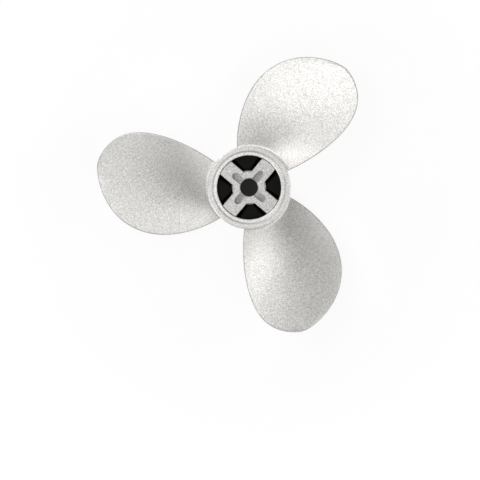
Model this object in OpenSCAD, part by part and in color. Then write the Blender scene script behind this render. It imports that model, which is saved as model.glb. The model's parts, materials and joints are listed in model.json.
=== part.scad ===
// Three-bladed boat propeller with a rubber-cushioned, pin-driven hub.
// Z is the shaft axis. Z = 0 is the forward end of the hub, which meets the gearcase.
// The slotted aft end faces up. All sizes are in millimetres.

/* [Propeller] */
// Diameter of the circle swept by the blade tips
prop_d = 184; // [150:1:222]
// Distance that the blade face would advance in one turn
pitch = 127; // [100:1:153]
// Which way the blades wind
hand = -1; // [-1:Left hand, 1:Right hand]
// Lean of the blades toward the aft end, in degrees
rake = 2; // [-5:0.5:8]

/* [Blades] */
// Thickness of a blade at its middle, beside the hub
root_thick = 6.4; // [4:0.1:8]
// Thickness of a blade at its middle, at the tip
tip_thick = 2; // [1.4:0.1:3]
// Thickness of the rounded blade edge
edge_thick = 1.2; // [0.8:0.1:1.8]
// Hollow of the pressure face, beside the hub
root_hollow = 4; // [0:0.5:5]
// Hollow of the pressure face, at the tip
tip_hollow = 0.4; // [0:0.1:2]
// Half of the angle that a blade covers on the hub, in degrees
root_half_angle = 42; // [34:1:50]
// How far the blade tip is swept back from the root, in degrees
sweep = 13.8; // [0:0.1:20]
// Radius of the fillet between a blade and the hub
root_fillet = 2; // [1:0.5:6]

/* [Hub barrel] */
// Outer diameter of the barrel
hub_d = 49.4; // [40:0.1:62]
// Length of the barrel
hub_len = 50; // [48:1:62]
// Wall of the barrel around the cushion unit
barrel_wall = 3.7; // [3:0.1:5]
// Height of the inner shoulder that the cushion unit is pressed against
shoulder_h = 5; // [3:0.5:8]
// Width of the inner shoulder
shoulder_w = 4; // [2:0.5:5]
// Chamfer on the barrel's outer edges
barrel_chamfer = 0.7; // [0.3:0.1:1.2]
// Chamfer where the barrel's bore opens aft
mouth_chamfer = 0.6; // [0.3:0.1:1]

/* [Cushion unit] */
// Wall of the outer sleeve
sleeve_wall = 2; // [1.5:0.1:3]
// Bevel on the sleeve's inner mouth
sleeve_bevel = 0.4; // [0.3:0.1:1.4]
// Twist of the drive hub each way, in degrees
twist = 6; // [2:0.5:8]
// Depth of the rubber pads below the aft face
pad_recess = 5; // [2:0.5:8]
// Gap between the rubber and what turns beside it
rubber_gap = 0.2; // [0.1:0.05:0.4]

/* [Drive spider] */
// Diameter of the central boss
boss_d = 20; // [17:0.1:24]
// Width of an arm
arm_w = 10.1; // [8:0.1:12.2]
// Depth of an arm along the shaft
arm_h = 16; // [10:0.5:20]
// How far the arms lie below the aft face
arm_recess = 1; // [0:0.1:2]
// Running gap between an arm's end and the sleeve
arm_gap = 0.3; // [0.2:0.05:0.5]
// Chamfer along the top edges of the arms
arm_chamfer = 0.4; // [0.2:0.05:0.6]
// Chamfer on the rim of the boss
boss_chamfer = 0.7; // [0.5:0.1:1]
// How far the boss's face lies below the arms' faces
boss_drop = 0.1; // [0.05:0.05:0.3]

/* [Shaft and drive pin] */
// Diameter of the propeller shaft
shaft_d = 10; // [8:0.1:12]
// Radial clearance of the shaft in its bush
shaft_clearance = 0.05; // [0.02:0.01:0.1]
// Wall of the bush
bush_wall = 1.45; // [1:0.05:2]
// Radial clearance between the shaft and the open mouth of the spider
mouth_clearance = 0.3; // [0.2:0.05:0.5]
// Bevel round the open mouth of the spider
mouth_bevel = 0.4; // [0.2:0.1:0.6]
// Width of the slots for the drive pin
pin_slot_w = 4.1; // [3:0.1:5]
// Length of the drive pin that the slots take, end to end
pin_slot_span = 24.6; // [20:0.1:27]
// Depth of the slots
pin_slot_h = 4; // [2:0.1:6]
// Solid height left between the slots and the bush
pin_seat = 1; // [0.5:0.1:3]

/* [Hidden] */
$fn = 128;

blade_count = 3;
arm_count = 4;
blade_turn = 65.2;   // direction of blade 1, from +X
arm_turn = 50;       // direction of the first arm, from +X

hub_r = hub_d / 2;
tip_r = prop_d / 2;
sleeve_r = hub_r - barrel_wall;
cushion_r = sleeve_r - sleeve_wall;
boss_r = boss_d / 2;
bush_bore_r = shaft_d / 2 + shaft_clearance;
bush_r = bush_bore_r + bush_wall;
mouth_r = shaft_d / 2 + mouth_clearance;
arm_top = hub_len - arm_recess;
arm_base = arm_top - arm_h;
boss_top = arm_top - boss_drop;
ring_top = arm_base - arm_gap;
bush_top = arm_top - pin_slot_h - pin_seat;
past = 2;            // how far a cutting shape runs past what it cuts

silver = [0.80, 0.80, 0.79];
dark_silver = [0.62, 0.62, 0.61];
rubber_black = [0.06, 0.06, 0.06];
bush_grey = [0.18, 0.17, 0.17];

// ---------- blade geometry ----------
// u runs from 0 at the hub to 1 at the tip. c runs from -1 at the following edge, which
// is the one nearer the aft face, to 1 at the leading edge.
fillet_steps = 4;
span_steps = 24;
chord_steps = 14;
edge_steps = 4;
edge_r = edge_thick / 2;
edge_tip_r = tip_r - edge_r;
span = edge_tip_r - hub_r;

// Shape of the outline: how it narrows along the blade, how late it closes, and the
// pinch that makes its tip a little sharper than an ellipse
narrowing = 0.534;
closing = 5.23;
tip_pinch = 0.3;
pinch_power = 18;
function half_angle(u) =
    root_half_angle * (1 - narrowing * u) * sqrt(1 - pow(u, closing))
    * (1 - tip_pinch * pow(u, pinch_power));
function mid_angle(u) = -sweep * (1.31 * u - 1.37 * u * u + 1.06 * u * u * u);

// Distances of the stations from the barrel: the fillet's, then closer together toward the
// tip. The first lies where the flat facets of the blade's root just touch the barrel.
widest_step = root_half_angle * sin(180 / chord_steps);
root_touch = hub_r / cos(widest_step / 2) - hub_r;
fillet_u = root_fillet / span;
stations = concat(
    [root_touch],
    [for (i = [1 : fillet_steps]) root_fillet * (1 - cos(90 * i / fillet_steps))],
    [for (i = [1 : span_steps - 1])
        span * (fillet_u + (1 - fillet_u) * sin(90 * i / span_steps))]);
last = len(stations) - 1;

function mix_u(a, b, u) = a + (b - a) * u;
function fillet(d) = d <= 0 ? root_fillet
    : d >= root_fillet ? 0
    : root_fillet - sqrt(root_fillet * root_fillet - pow(root_fillet - d, 2));
function lift(r) = sqrt(1 + pow(pitch / (2 * PI * r), 2));
function edge_angle(r) = edge_r / r * 180 / PI;

// Height of the pressure face and of the suction face at distance d from the hub
function face_z(d, c, phi) =
    let (u = max(0, d) / span)
    hub_len / 2 - pitch * phi / 360 + d * tan(rake)
    - mix_u(root_hollow, tip_hollow, u) * (1 - c * c);
function thick_z(d, c) =
    let (u = max(0, d) / span)
    lift(hub_r + d) * (edge_thick + (mix_u(root_thick, tip_thick, u) - edge_thick) * (1 - c * c));
function phi_at(d, c) =
    let (u = max(0, d) / span)
    mid_angle(u) + c * max(0, half_angle(u) - edge_angle(hub_r + d));
function plan(d, phi) = [(hub_r + d) * cos(phi), (hub_r + d) * sin(phi)];
function with_z(p, z) = [p[0], p[1], z];
function chord_c(j) = -cos(180 * j / chord_steps);

function top_point(d, c) =
    let (phi = phi_at(d, c))
    with_z(plan(d, phi), face_z(d, c, phi) + fillet(d));
function low_point(d, c) =
    let (phi = phi_at(d, c))
    with_z(plan(d, phi), face_z(d, c, phi) - thick_z(d, c) - fillet(d));

// Edge line: out along the following edge, round the tip, back along the leading edge
edge_line = concat(
    [for (i = [0 : last]) [stations[i], -1]],
    [[span, 0]],
    [for (i = [last : -1 : 0]) [stations[i], 1]]);
edge_last = len(edge_line) - 1;
edge_plan = [for (e = edge_line) plan(e[0], phi_at(e[0], e[1]))];
function unit(v) = v / norm(v);
function outward(k) =
    let (t = unit(edge_plan[min(k + 1, edge_last)] - edge_plan[max(k - 1, 0)]))
    k == last + 1 ? unit(edge_plan[k]) : [t[1], -t[0]];

top_grid = [for (i = [0 : last]) for (j = [0 : chord_steps]) top_point(stations[i], chord_c(j))];
low_grid = [for (i = [0 : last]) for (j = [0 : chord_steps]) low_point(stations[i], chord_c(j))];
tip_points = [top_point(span, 0), low_point(span, 0)];
edge_points = [
    for (k = [0 : edge_last])
        let (hi = top_point(edge_line[k][0], edge_line[k][1]))
        let (lo = low_point(edge_line[k][0], edge_line[k][1]))
        for (s = [1 : edge_steps - 1])
            let (a = 90 - 180 * s / edge_steps)
            with_z(edge_plan[k] + edge_r * cos(a) * outward(k),
                   (hi[2] + lo[2]) / 2 + (hi[2] - lo[2]) / 2 * sin(a))];

row = chord_steps + 1;
low_start = len(top_grid);
tip_start = low_start + len(low_grid);
edge_start = tip_start + 2;
function top_id(i, j) = i * row + j;
function low_id(i, j) = low_start + i * row + j;
function edge_row(k) = k <= last ? k : edge_last - k;
function edge_col(k) = k <= last ? 0 : chord_steps;
function edge_id(k, s) =
    s > 0 && s < edge_steps ? edge_start + k * (edge_steps - 1) + s - 1
    : k == last + 1 ? tip_start + (s == 0 ? 0 : 1)
    : s == 0 ? top_id(edge_row(k), edge_col(k))
    : low_id(edge_row(k), edge_col(k));

blade_faces = concat(
    [for (i = [0 : last - 1]) for (j = [0 : chord_steps - 1]) each [
        [top_id(i, j), top_id(i, j + 1), top_id(i + 1, j + 1)],
        [top_id(i, j), top_id(i + 1, j + 1), top_id(i + 1, j)],
        [low_id(i, j), low_id(i + 1, j + 1), low_id(i, j + 1)],
        [low_id(i, j), low_id(i + 1, j), low_id(i + 1, j + 1)]]],
    [for (j = [0 : chord_steps - 1]) each [
        [top_id(last, j), top_id(last, j + 1), tip_start],
        [low_id(last, j), tip_start + 1, low_id(last, j + 1)],
        [top_id(0, j), low_id(0, j), low_id(0, j + 1)],
        [top_id(0, j), low_id(0, j + 1), top_id(0, j + 1)]]],
    [for (k = [0 : edge_last - 1]) for (s = [0 : edge_steps - 1]) each [
        [edge_id(k, s), edge_id(k + 1, s), edge_id(k + 1, s + 1)],
        [edge_id(k, s), edge_id(k + 1, s + 1), edge_id(k, s + 1)]]],
    [for (s = [1 : edge_steps - 1]) each [
        [edge_id(0, 0), edge_id(0, s), edge_id(0, s + 1)],
        [edge_id(edge_last, 0), edge_id(edge_last, s + 1), edge_id(edge_last, s)]]]);

module blade(k) {
    color(silver)
        rotate([0, 0, blade_turn + 360 / blade_count * (k - 1)])
            mirror([0, hand > 0 ? 1 : 0, 0])
                polyhedron(concat(top_grid, low_grid, tip_points, edge_points), blade_faces);
}

// ---------- hub ----------
module hub_barrel() {
    ch = barrel_chamfer;
    color(silver)
        rotate_extrude()
            polygon([
                [sleeve_r - shoulder_w, 0], [hub_r - ch, 0], [hub_r, ch],
                [hub_r, hub_len - ch], [hub_r - ch, hub_len],
                [sleeve_r + mouth_chamfer, hub_len], [sleeve_r, hub_len - mouth_chamfer],
                [sleeve_r, shoulder_h], [sleeve_r - shoulder_w, shoulder_h]]);
}

module damper_sleeve() {
    color(silver)
        rotate_extrude()
            polygon([
                [cushion_r, shoulder_h], [sleeve_r, shoulder_h], [sleeve_r, hub_len - mouth_chamfer],
                [cushion_r + sleeve_bevel, hub_len - mouth_chamfer],
                [cushion_r, hub_len - mouth_chamfer - sleeve_bevel]]);
}

// A round tube between two heights
module tube(outer, inner, low, high) {
    translate([0, 0, low])
        difference() {
            cylinder(r = outer, h = high - low);
            translate([0, 0, -past])
                cylinder(r = inner, h = high - low + 2 * past);
        }
}

module shear_ring() {
    color(rubber_black)
        tube(cushion_r, boss_r + rubber_gap, shoulder_h, ring_top);
}

// Room that one arm sweeps when the drive hub turns to one end of its travel
module swept_arm(turn) {
    rotate([0, 0, turn])
        translate([0, -arm_w / 2 - arm_gap, 0])
            cube([cushion_r + past, arm_w + 2 * arm_gap, hub_len]);
}

// Rubber pad in the window after arm k, clear of the arms on both sides
module stop_pad(k) {
    step = 360 / arm_count;
    first = arm_turn + step * (k - 1);
    color(rubber_black)
        intersection() {
            difference() {
                tube(cushion_r, boss_r + rubber_gap, ring_top, hub_len - pad_recess);
                swept_arm(first + twist);
                swept_arm(first + step - twist);
            }
            rotate([0, 0, first])
                translate([0, 0, ring_top - past])
                    cube([hub_r, hub_r, hub_len]);
        }
}

// ---------- drive hub ----------
// Bar across the whole spider with chamfered top edges
module cross_bar(turn) {
    w = arm_w / 2;
    ch = arm_chamfer;
    rotate([0, 0, turn])
        translate([-cushion_r, 0, 0])
            rotate([90, 0, 90])
                linear_extrude(2 * cushion_r)
                    polygon([
                        [-w, arm_base], [w, arm_base], [w, arm_top - ch],
                        [w - ch, arm_top], [-w + ch, arm_top], [-w, arm_top - ch]]);
}

module pin_slot(turn) {
    reach = (pin_slot_span - pin_slot_w) / 2;
    translate([0, 0, arm_top - pin_slot_h])
        rotate([0, 0, turn]) {
            translate([-reach, -pin_slot_w / 2, 0])
                cube([2 * reach, pin_slot_w, pin_slot_h + past]);
            for (side = [-1, 1])
                translate([side * reach, 0, 0])
                    cylinder(d = pin_slot_w, h = pin_slot_h + past, $fn = 64);
        }
}

module drive_spider() {
    ch = boss_chamfer;
    color(silver)
        difference() {
            union() {
                rotate_extrude()
                    polygon([
                        [0, 0], [boss_r - ch, 0], [boss_r, ch], [boss_r, boss_top - ch],
                        [boss_r - ch, boss_top], [0, boss_top]]);
                intersection() {
                    union() {
                        cross_bar(arm_turn);
                        cross_bar(arm_turn + 90);
                    }
                    translate([0, 0, arm_base - past])
                        cylinder(r = cushion_r - arm_gap, h = arm_h + 2 * past);
                }
            }
            pin_slot(arm_turn);
            pin_slot(arm_turn + 90);
            translate([0, 0, -past])
                cylinder(r = mouth_r, h = hub_len + 2 * past);
            translate([0, 0, -past])
                cylinder(r = bush_r, h = bush_top + past);
            translate([0, 0, boss_top - mouth_bevel])
                cylinder(r1 = mouth_r, r2 = mouth_r + 2 * mouth_bevel, h = 2 * mouth_bevel);
        }
}

module shaft_bush() {
    color(bush_grey)
        tube(bush_r, bush_bore_r, 0, bush_top);
}

hub_barrel();
blade(1);  // blade_1
blade(2);  // blade_2
blade(3);  // blade_3
damper_sleeve();
shear_ring();
stop_pad(1);  // stop_pad_1
stop_pad(2);  // stop_pad_2
stop_pad(3);  // stop_pad_3
stop_pad(4);  // stop_pad_4
drive_spider();
shaft_bush();
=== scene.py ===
"""Three-bladed boat propeller with a rubber-cushioned hub, seen along its shaft."""
import json
import math

import bmesh
import bpy
from mathutils import Matrix, Vector

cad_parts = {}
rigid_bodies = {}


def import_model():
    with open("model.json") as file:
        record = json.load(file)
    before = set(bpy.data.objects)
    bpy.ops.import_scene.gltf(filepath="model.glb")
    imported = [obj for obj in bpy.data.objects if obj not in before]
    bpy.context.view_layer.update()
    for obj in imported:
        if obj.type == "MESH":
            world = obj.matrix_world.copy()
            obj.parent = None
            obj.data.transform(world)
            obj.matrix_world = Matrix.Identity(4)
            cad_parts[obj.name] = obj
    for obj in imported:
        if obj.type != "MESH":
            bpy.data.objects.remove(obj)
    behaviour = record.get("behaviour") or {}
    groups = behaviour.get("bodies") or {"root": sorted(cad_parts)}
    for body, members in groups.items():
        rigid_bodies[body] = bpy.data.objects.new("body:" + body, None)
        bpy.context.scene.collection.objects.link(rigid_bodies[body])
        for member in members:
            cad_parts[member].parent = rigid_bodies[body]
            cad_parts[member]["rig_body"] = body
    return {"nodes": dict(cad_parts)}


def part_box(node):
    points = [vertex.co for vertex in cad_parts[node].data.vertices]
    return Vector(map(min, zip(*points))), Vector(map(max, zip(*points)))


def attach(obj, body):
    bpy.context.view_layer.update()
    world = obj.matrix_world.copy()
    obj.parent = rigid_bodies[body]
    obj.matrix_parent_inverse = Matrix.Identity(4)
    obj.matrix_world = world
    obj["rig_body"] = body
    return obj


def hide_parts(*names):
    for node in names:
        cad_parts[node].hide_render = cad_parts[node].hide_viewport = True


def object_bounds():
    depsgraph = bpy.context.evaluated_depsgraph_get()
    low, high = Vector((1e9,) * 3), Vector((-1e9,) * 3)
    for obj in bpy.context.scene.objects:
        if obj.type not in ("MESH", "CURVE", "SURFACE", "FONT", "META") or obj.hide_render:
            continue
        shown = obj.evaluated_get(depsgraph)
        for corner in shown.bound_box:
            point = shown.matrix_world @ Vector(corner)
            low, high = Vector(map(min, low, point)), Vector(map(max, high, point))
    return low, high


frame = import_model()
cad_low, cad_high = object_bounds()
NODES = frame["nodes"]
MM = 0.001

# ---------------------------------------------------------------- sizes from the frame
barrel_low, barrel_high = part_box("hub_barrel")
HUB_R = barrel_high.x
HUB_LEN = barrel_high.z
TIP_R = max(math.hypot(v.co.x, v.co.y) for v in NODES["blade_1"].data.vertices)
BLADE_NODES = ["blade_1", "blade_2", "blade_3"]
PAD_NODES = ["stop_pad_1", "stop_pad_2", "stop_pad_3", "stop_pad_4"]

# Blade shape, the same values as the CAD model's, in metres and degrees
PITCH = 127 * MM
RAKE = 2.0
ROOT_THICK, TIP_THICK = 6.4 * MM, 2.0 * MM
EDGE_R = 0.6 * MM
ROOT_HOLLOW, TIP_HOLLOW = 4.0 * MM, 0.4 * MM
ROOT_HALF_ANGLE = 42.0
SWEEP = 13.8
NARROWING, CLOSING, TIP_PINCH, PINCH_POWER = 0.534, 5.23, 0.3, 18
FILLET = 2.0 * MM
BLADE_TURN = 65.2

BOSS_DROP = 0.1 * MM       # how far the spider's boss lies below its arms
SLOT_DEPTH = 4.0 * MM      # depth of the drive-pin slots

# ---------------------------------------------------------------- materials
FLAKE_TILT = 0.12          # how far the flakes of the coat lean from the surface
FACE_SHADE_TONE = 0.95           # painted shade: how bright the coat is on the barrel's aft face
SEAM_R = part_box("damper_sleeve")[1].x + 0.7 * MM
SEAM_HALF_WIDTH = 0.5 * MM
SEAM_SHADE_TONE = 0.65           # painted shade: how bright the coat is in the groove between barrel and sleeve
RIM_SHADE_TONE = 0.4             # painted shade: how bright the coat is on a blade's rounded edge
RIM = "rim"                # mesh attribute that is 1 on that edge
SLOT_SHADE_TONE = 0.66           # painted shade: how much of the coat's brightness is left at the bottom of the slots


class Nodes:
    """A small helper that adds shader nodes to one material."""

    def __init__(self, name):
        self.material = bpy.data.materials.new(name)
        self.material.use_nodes = True
        self.tree = self.material.node_tree
        self.shader = self.tree.nodes["Principled BSDF"]
        self.output = self.tree.nodes["Material Output"]

    def add(self, kind, **values):
        node = self.tree.nodes.new(kind)
        for key, value in values.items():
            if hasattr(node, key):
                setattr(node, key, value)
            else:
                node.inputs[key].default_value = value
        return node

    def link(self, source, target):
        self.tree.links.new(source, target)

    def object_position(self):
        return self.add("ShaderNodeTexCoord").outputs["Object"]

    def noise(self, scale, detail=2.0, roughness=0.5):
        node = self.add("ShaderNodeTexNoise", Scale=scale, Detail=detail, Roughness=roughness)
        self.link(self.object_position(), node.inputs["Vector"])
        return node

    def flakes(self, size):
        node = self.add("ShaderNodeTexVoronoi", Scale=1 / size)
        self.link(self.object_position(), node.inputs["Vector"])
        return node

    def scaled(self, source, low, high):
        """Maps a 0 to 1 value to low to high."""
        node = self.add("ShaderNodeMapRange")
        node.inputs["To Min"].default_value = low
        node.inputs["To Max"].default_value = high
        self.link(source, node.inputs["Value"])
        return node.outputs["Result"]

    def faded(self, bottom, top, least):
        """Rises from least at the height bottom to 1 at the height top."""
        place = self.add("ShaderNodeSeparateXYZ")
        self.link(self.object_position(), place.inputs["Vector"])
        node = self.add("ShaderNodeMapRange")
        node.inputs["From Min"].default_value = bottom
        node.inputs["From Max"].default_value = top
        node.inputs["To Min"].default_value = least
        self.link(place.outputs["Z"], node.inputs["Value"])
        return node.outputs["Result"]

    def dark_ring(self, radius, half_width, least):
        """Is least on a thin ring about the Z axis and 1 away from it."""
        flat = self.add("ShaderNodeVectorMath", operation="MULTIPLY")
        flat.inputs[1].default_value = (1, 1, 0)
        self.link(self.object_position(), flat.inputs[0])
        length = self.add("ShaderNodeVectorMath", operation="LENGTH")
        self.link(flat.outputs[0], length.inputs[0])
        offset = self.add("ShaderNodeMath", operation="SUBTRACT")
        offset.inputs[1].default_value = radius
        self.link(length.outputs["Value"], offset.inputs[0])
        distance = self.add("ShaderNodeMath", operation="ABSOLUTE")
        self.link(offset.outputs[0], distance.inputs[0])
        node = self.add("ShaderNodeMapRange")
        node.inputs["From Max"].default_value = half_width
        node.inputs["To Min"].default_value = least
        self.link(distance.outputs[0], node.inputs["Value"])
        return node.outputs["Result"]

    def times(self, a, b):
        node = self.add("ShaderNodeMath", operation="MULTIPLY")
        self.link(a, node.inputs[0])
        self.link(b, node.inputs[1])
        return node.outputs[0]

    def tinted(self, color, amount):
        """A colour scaled by a varying amount."""
        node = self.add("ShaderNodeVectorMath", operation="SCALE")
        node.inputs[0].default_value = color
        self.link(amount, node.inputs["Scale"])
        return node.outputs[0]

    def tilted_flakes(self, flake_color, tilt):
        """The surface normal, turned a little at random in each flake."""
        centred = self.add("ShaderNodeVectorMath", operation="SUBTRACT")
        centred.inputs[1].default_value = (0.5, 0.5, 0.5)
        self.link(flake_color, centred.inputs[0])
        lean = self.add("ShaderNodeVectorMath", operation="SCALE", Scale=tilt)
        self.link(centred.outputs[0], lean.inputs[0])
        total = self.add("ShaderNodeVectorMath", operation="ADD")
        self.link(lean.outputs[0], total.inputs[0])
        self.link(self.add("ShaderNodeNewGeometry").outputs["Normal"], total.inputs[1])
        unit = self.add("ShaderNodeVectorMath", operation="NORMALIZE")
        self.link(total.outputs[0], unit.inputs[0])
        return unit.outputs[0]

    def bump(self, height, distance, strength=1.0, normal=None):
        node = self.add("ShaderNodeBump", Distance=distance, Strength=strength)
        self.link(height, node.inputs["Height"])
        if normal is not None:
            self.link(normal, node.inputs["Normal"])
        self.link(node.outputs["Normal"], self.shader.inputs["Normal"])


def silver_coat(name, color, roughness, grain, flake=0.34 * MM, metallic=0.8, slot_shade_below=None):
    """Silver flake coat on a casting: random bright and dark flakes over slow cloudy drift.

    Below the given height the colour darkens over the depth of a drive-pin slot, as painted shade in
    the slots.
    """
    m = Nodes(name)
    cells = m.flakes(flake)
    split = m.add("ShaderNodeSeparateColor")
    m.link(cells.outputs["Color"], split.inputs["Color"])
    sparkle = m.scaled(split.outputs["Red"], 1 - grain, 1 + grain)
    clouds = m.scaled(m.noise(60, 3).outputs["Fac"], 0.96, 1.04)
    shade = m.times(sparkle, clouds)
    if slot_shade_below is not None:
        # Painted shade in the drive-pin slots: darker towards their bottom
        shade = m.times(shade, m.faded(slot_shade_below - SLOT_DEPTH, slot_shade_below, SLOT_SHADE_TONE))
    # Painted shade on the barrel's aft face
    shade = m.times(shade, m.faded(HUB_LEN, HUB_LEN - 0.8 * MM, FACE_SHADE_TONE))
    # Painted shade along the groove between barrel and sleeve
    shade = m.times(shade, m.dark_ring(SEAM_R, SEAM_HALF_WIDTH, SEAM_SHADE_TONE))
    # Painted shade along the blades' rounded edges
    rim = m.add("ShaderNodeAttribute", attribute_name=RIM)
    shade = m.times(shade, m.scaled(rim.outputs["Fac"], 1, RIM_SHADE_TONE))
    tinted = m.tinted(color, shade)
    m.link(tinted, m.shader.inputs["Base Color"])
    m.shader.inputs["Metallic"].default_value = metallic
    m.link(m.scaled(split.outputs["Green"], roughness - 0.05, roughness + 0.05),
           m.shader.inputs["Roughness"])
    m.bump(m.noise(1400, 2, 0.6).outputs["Fac"], 0.02 * MM, 0.35,
           m.tilted_flakes(cells.outputs["Color"], FLAKE_TILT))
    return m.material


def rubber():
    m = Nodes("damper_rubber")
    shade = m.scaled(m.noise(900, 3).outputs["Fac"], 0.7, 1.3)
    m.link(m.tinted((0.003, 0.0028, 0.0022), shade), m.shader.inputs["Base Color"])
    m.shader.inputs["Specular IOR Level"].default_value = 0.12
    m.link(m.scaled(m.noise(500, 2).outputs["Fac"], 0.5, 0.7), m.shader.inputs["Roughness"])
    m.bump(m.noise(1800, 2).outputs["Fac"], 0.03 * MM, 0.5)
    return m.material


def polymer():
    m = Nodes("bush_polymer")
    shade = m.scaled(m.noise(700, 2).outputs["Fac"], 0.85, 1.15)
    m.link(m.tinted((0.020, 0.018, 0.019), shade), m.shader.inputs["Base Color"])
    m.link(m.scaled(m.noise(400, 2).outputs["Fac"], 0.45, 0.6), m.shader.inputs["Roughness"])
    m.bump(m.noise(1500, 2).outputs["Fac"], 0.02 * MM, 0.4)
    return m.material


MATERIALS = {
    "coated_casting": silver_coat("coated_casting", (0.73, 0.715, 0.695), 0.45, 0.30),
    "sleeve_metal": silver_coat("sleeve_metal", (0.80, 0.79, 0.77), 0.42, 0.34),
    "spider_metal": silver_coat("spider_metal", (0.60, 0.59, 0.575), 0.42, 0.42,
                                slot_shade_below=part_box("drive_spider")[1].z - 0.4 * MM),
    "damper_rubber": rubber(),
    "bush_polymer": polymer(),
}

# ---------------------------------------------------------------- pieces


def add_piece(name, mesh, node, slot):
    """Puts a finished mesh in the scene in place of a CAD node, on the node's body."""
    piece = bpy.data.objects.new(name, mesh)
    bpy.context.scene.collection.objects.link(piece)
    mesh.materials.clear()
    mesh.materials.append(MATERIALS[slot])
    for face in mesh.polygons:
        face.use_smooth = True
    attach(piece, NODES[node]["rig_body"])
    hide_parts(node)
    return piece


def apply_modifiers(piece):
    graph = bpy.context.evaluated_depsgraph_get()
    mesh = bpy.data.meshes.new_from_object(piece.evaluated_get(graph))
    piece.modifiers.clear()
    piece.data = mesh


def softened(node, slot, width, segments=3, level=0.0):
    """The CAD solid with its edges rounded, and any face just `level` below its top raised to it."""
    mesh = bpy.data.meshes.new(node + "_mesh")
    bm = bmesh.new()
    bm.from_mesh(NODES[node].data)
    top = max(v.co.z for v in bm.verts)
    for v in bm.verts:
        if abs(v.co.z - (top - level)) < 0.01 * MM:
            v.co.z = top
    bmesh.ops.remove_doubles(bm, verts=bm.verts, dist=0.001 * MM)
    bmesh.ops.dissolve_limit(bm, angle_limit=math.radians(0.5), verts=bm.verts, edges=bm.edges)
    bm.to_mesh(mesh)
    bm.free()
    piece = add_piece(node + "_finished", mesh, node, slot)
    bevel = piece.modifiers.new("rounding", "BEVEL")
    bevel.width = width
    bevel.segments = segments
    bevel.limit_method = "ANGLE"
    bevel.angle_limit = math.radians(30)
    # Flat faces stay flat in the shading, and only the rounded edges turn
    normals = piece.modifiers.new("normals", "WEIGHTED_NORMAL")
    normals.weight = 100
    normals.keep_sharp = True
    apply_modifiers(piece)
    return piece


SPAN = TIP_R - EDGE_R - HUB_R
FILLET_STEPS, SPAN_STEPS, CHORD_STEPS, EDGE_STEPS = 10, 90, 48, 8
ROOT_SINK = 0.3 * MM


def mix(a, b, t):
    return a + (b - a) * t


def half_angle(u):
    taper = (1 - NARROWING * u) * (1 - TIP_PINCH * u ** PINCH_POWER)
    return ROOT_HALF_ANGLE * taper * math.sqrt(max(0.0, 1 - u ** CLOSING))


def mid_angle(u):
    return -SWEEP * (1.31 * u - 1.37 * u ** 2 + 1.06 * u ** 3)


def fillet(d):
    if d >= FILLET:
        return 0.0
    return FILLET - math.sqrt(FILLET ** 2 - (FILLET - max(0.0, d)) ** 2)


def blade_point(d, c):
    """Plan position, and heights of the pressure and suction faces, at distance d from the hub."""
    u = max(0.0, d) / SPAN
    r = HUB_R + d
    phi = mid_angle(u) + c * max(0.0, half_angle(u) - math.degrees(EDGE_R / r))
    plan = Vector((r * math.cos(math.radians(phi)), r * math.sin(math.radians(phi))))
    crown = 1 - c * c
    face = (HUB_LEN / 2 - PITCH * phi / 360 + d * math.tan(math.radians(RAKE))
            - mix(ROOT_HOLLOW, TIP_HOLLOW, u) * crown)
    lift = math.hypot(1, PITCH / (2 * math.pi * r))
    thick = lift * (2 * EDGE_R + (mix(ROOT_THICK, TIP_THICK, u) - 2 * EDGE_R) * crown)
    return plan, face + fillet(d), face - thick - fillet(d)


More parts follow.
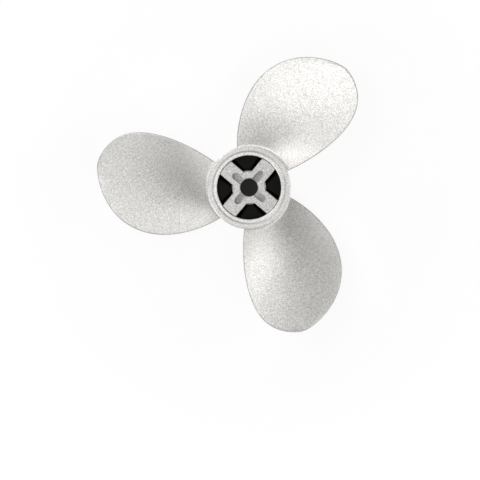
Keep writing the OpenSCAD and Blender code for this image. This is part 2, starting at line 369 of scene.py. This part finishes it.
def blade_mesh(name, turn):
    root = FILLET / SPAN
    stations = [-ROOT_SINK]
    stations += [FILLET * (1 - math.cos(math.pi / 2 * i / FILLET_STEPS))
                 for i in range(FILLET_STEPS + 1)]
    stations += [SPAN * mix(root, 1, math.sin(math.pi / 2 * i / SPAN_STEPS))
                 for i in range(1, SPAN_STEPS)]
    chords = [-math.cos(math.pi * j / CHORD_STEPS) for j in range(CHORD_STEPS + 1)]
    last = len(stations) - 1
    bm = bmesh.new()
    rim_layer = bm.verts.layers.float.new(RIM)

    def vert(plan, z):
        return bm.verts.new((plan.x, plan.y, z))

    top, low = [], []
    for d in stations:
        points = [blade_point(d, c) for c in chords]
        top.append([vert(p, hi) for p, hi, lo in points])
        low.append([vert(p, lo) for p, hi, lo in points])
    tip_plan, tip_hi, tip_lo = blade_point(SPAN, 0)
    tip_top, tip_low = vert(tip_plan, tip_hi), vert(tip_plan, tip_lo)

    # The rounded edge runs out along one side, round the tip and back along the other
    line = [(top[i][0], low[i][0]) for i in range(last + 1)] + [(tip_top, tip_low)]
    line += [(top[i][-1], low[i][-1]) for i in range(last, -1, -1)]
    plans = [Vector(a.co.xy) for a, b in line]
    rims = []
    for k, (a, b) in enumerate(line):
        along = plans[min(k + 1, len(line) - 1)] - plans[max(k - 1, 0)]
        out = Vector((along.y, -along.x)).normalized()
        middle, half = (a.co.z + b.co.z) / 2, (a.co.z - b.co.z) / 2
        rim = [a]
        for s in range(1, EDGE_STEPS):
            angle = math.pi / 2 - math.pi * s / EDGE_STEPS
            edge = vert(plans[k] + EDGE_R * math.cos(angle) * out, middle + half * math.sin(angle))
            edge[rim_layer] = math.cos(angle)
            rim.append(edge)
        rims.append(rim + [b])

    for i in range(last):
        for j in range(CHORD_STEPS):
            bm.faces.new((top[i][j], top[i + 1][j], top[i + 1][j + 1], top[i][j + 1]))
            bm.faces.new((low[i][j], low[i][j + 1], low[i + 1][j + 1], low[i + 1][j]))
    for j in range(CHORD_STEPS):
        bm.faces.new((top[last][j], tip_top, top[last][j + 1]))
        bm.faces.new((low[last][j], low[last][j + 1], tip_low))
    for k in range(len(line) - 1):
        for s in range(EDGE_STEPS):
            bm.faces.new((rims[k][s], rims[k][s + 1], rims[k + 1][s + 1], rims[k + 1][s]))
    bm.faces.new(top[0] + rims[-1][1:] + low[0][-2::-1] + rims[0][-2:0:-1])
    bmesh.ops.recalc_face_normals(bm, faces=bm.faces)
    bmesh.ops.transform(bm, verts=bm.verts, matrix=Matrix.Rotation(math.radians(turn), 4, "Z"))
    mesh = bpy.data.meshes.new(name)
    bm.to_mesh(mesh)
    bm.free()
    return mesh


for number, node in enumerate(BLADE_NODES):
    mesh = blade_mesh(node + "_mesh", BLADE_TURN + 120 * number)
    add_piece(node + "_casting", mesh, node, "coated_casting")

softened("hub_barrel", "coated_casting", 0.18 * MM)
softened("damper_sleeve", "sleeve_metal", 0.12 * MM)
softened("drive_spider", "spider_metal", 0.10 * MM, 2, BOSS_DROP)
for node in PAD_NODES:
    softened(node, "damper_rubber", 0.4 * MM)
softened("shear_ring", "damper_rubber", 0.2 * MM)
softened("shaft_bush", "bush_polymer", 0.1 * MM, 2)

# ---------------------------------------------------------------- stage
FLOOR_SIZE = 40
SHADOW_SHARE = 0.15       # how much of the floor's own shading the camera sees near the object
FLOOR_GLOW = 1.03         # how bright the floor looks to the camera
BORE_SHADE_GLOW = 0.02          # painted shade: how bright the floor under the hub looks through the bore


def background_rays(tree):
    """A value that is 1 for the rays that show the plain white background, and 0 for the rest."""
    path = tree.nodes.new("ShaderNodeLightPath")
    value = path.outputs["Is Camera Ray"]
    for kind in ("Is Glossy Ray", "Is Transmission Ray"):
        either = tree.nodes.new("ShaderNodeMath")
        either.operation = "MAXIMUM"
        tree.links.new(value, either.inputs[0])
        tree.links.new(path.outputs[kind], either.inputs[1])
        value = either.outputs[0]
    return value


def floor():
    mesh = bpy.data.meshes.new("floor")
    half = FLOOR_SIZE / 2
    z = cad_low.z - 0.02 * MM
    mesh.from_pydata([(-half, -half, z), (half, -half, z), (half, half, z), (-half, half, z)],
                     [], [(0, 1, 2, 3)])
    piece = bpy.data.objects.new("floor", mesh)
    bpy.context.scene.collection.objects.link(piece)
    m = Nodes("floor")
    m.shader.inputs["Base Color"].default_value = (0.95, 0.95, 0.95, 1)
    m.shader.inputs["Roughness"].default_value = 0.9
    glow = m.add("ShaderNodeEmission")
    glow.inputs["Color"].default_value = (1, 1, 1, 1)
    # White to the camera, except under the hub, where the glow drops to a painted shade that shows
    # through the bore
    position = m.add("ShaderNodeVectorMath", operation="LENGTH")
    m.link(m.object_position(), position.inputs[0])
    outside = m.add("ShaderNodeMapRange")
    outside.inputs["From Min"].default_value = HUB_R * 0.8
    outside.inputs["From Max"].default_value = HUB_R
    m.link(position.outputs["Value"], outside.inputs["Value"])
    m.link(m.scaled(outside.outputs["Result"], BORE_SHADE_GLOW, FLOOR_GLOW), glow.inputs["Strength"])
    blend = m.add("ShaderNodeMixShader")
    # Near the object the floor also shows its own lit surface, so that it keeps the shadow
    nearby = m.add("ShaderNodeMapRange")
    nearby.inputs["From Min"].default_value = TIP_R * 1.3
    nearby.inputs["From Max"].default_value = TIP_R * 3
    nearby.inputs["To Min"].default_value = 1 - SHADOW_SHARE
    m.link(position.outputs["Value"], nearby.inputs["Value"])
    m.link(m.times(background_rays(m.tree), nearby.outputs["Result"]), blend.inputs["Fac"])
    m.link(m.shader.outputs["BSDF"], blend.inputs[1])
    m.link(glow.outputs["Emission"], blend.inputs[2])
    # From below the floor is clear, so that the forward end can be seen
    clear = m.add("ShaderNodeBsdfTransparent")
    sides = m.add("ShaderNodeMixShader")
    m.link(m.add("ShaderNodeNewGeometry").outputs["Backfacing"], sides.inputs["Fac"])
    m.link(blend.outputs["Shader"], sides.inputs[1])
    m.link(clear.outputs["BSDF"], sides.inputs[2])
    m.link(sides.outputs["Shader"], m.output.inputs["Surface"])
    mesh.materials.append(m.material)


floor()

# ---------------------------------------------------------------- light
WALL_TOP, CEILING = 0.2, 0.35     # sines of the elevations where the white ends and the ceiling starts
CEILING_GLOW = 0.1
world = bpy.data.worlds.new("studio")
bpy.context.scene.world = world
world.use_nodes = True
background = world.node_tree.nodes["Background"]
background.inputs["Color"].default_value = (1, 1, 1, 1)
# White all round the horizon and below, and a dim ceiling above
tree = world.node_tree
direction = tree.nodes.new("ShaderNodeSeparateXYZ")
tree.links.new(tree.nodes.new("ShaderNodeTexCoord").outputs["Generated"], direction.inputs["Vector"])
height = tree.nodes.new("ShaderNodeMapRange")
height.inputs["From Min"].default_value = WALL_TOP
height.inputs["From Max"].default_value = CEILING
height.inputs["To Min"].default_value = 1
height.inputs["To Max"].default_value = CEILING_GLOW
tree.links.new(direction.outputs["Z"], height.inputs["Value"])
seen = tree.nodes.new("ShaderNodeMath")
seen.operation = "MULTIPLY"
tree.links.new(background_rays(tree), seen.inputs[0])
tree.links.new(height.outputs["Result"], seen.inputs[1])
tree.links.new(seen.outputs[0], background.inputs["Strength"])


def softbox(name, azimuth, elevation, watts, size, distance=1.0):
    """A square area light. Azimuth is counted from +X and elevation from the floor, in degrees."""
    light = bpy.data.lights.new(name, "AREA")
    light.shape = "SQUARE"
    light.size = size
    light.energy = watts
    lamp = bpy.data.objects.new(name, light)
    a, e = math.radians(azimuth), math.radians(elevation)
    way = Vector((math.cos(a) * math.cos(e), math.sin(a) * math.cos(e), math.sin(e)))
    lamp.location = way * distance + Vector((0, 0, HUB_LEN / 2))
    lamp.rotation_euler = way.to_track_quat("Z", "Y").to_euler()
    bpy.context.scene.collection.objects.link(lamp)
    return lamp


# Softboxes round the part: name, azimuth, elevation, watts and size
LIGHTS = [
    ("top", 165, 70, 2.6, 0.6),
    ("front_right", 315, 55, 2.3, 0.6),
    ("right", 8, 34, 2.2, 0.5),
    ("left_back", 150, 55, 0.8, 0.4),
    ("front_left", 240, 55, 0.8, 0.4),
    ("back", 100, 40, 1.5, 0.6),
    ("back_left_low", 130, 15, 1.6, 0.5),
    ("left_front_low", 212, 15, 1.9, 0.4),
]
for entry in LIGHTS:
    softbox(*entry)

# ---------------------------------------------------------------- camera
FRAME_WIDTH = 0.2888      # width of the view at the height of the blades
CAMERA_HEIGHT = 1.5
HUB_RIGHT, HUB_UP = 0.0188, 0.1094    # the hub's place off the middle, as shares of that width
data = bpy.data.cameras.new("camera")
camera = bpy.data.objects.new("camera", data)
bpy.context.scene.collection.objects.link(camera)
camera.location = (0, 0, HUB_LEN / 2 + CAMERA_HEIGHT)
data.sensor_width = 36
data.lens = data.sensor_width * CAMERA_HEIGHT / FRAME_WIDTH
data.shift_x = -HUB_RIGHT
data.shift_y = -HUB_UP
data.clip_start = 0.1
data.clip_end = 100
bpy.context.scene.camera = camera
bpy.context.scene.view_settings.view_transform = "Standard"
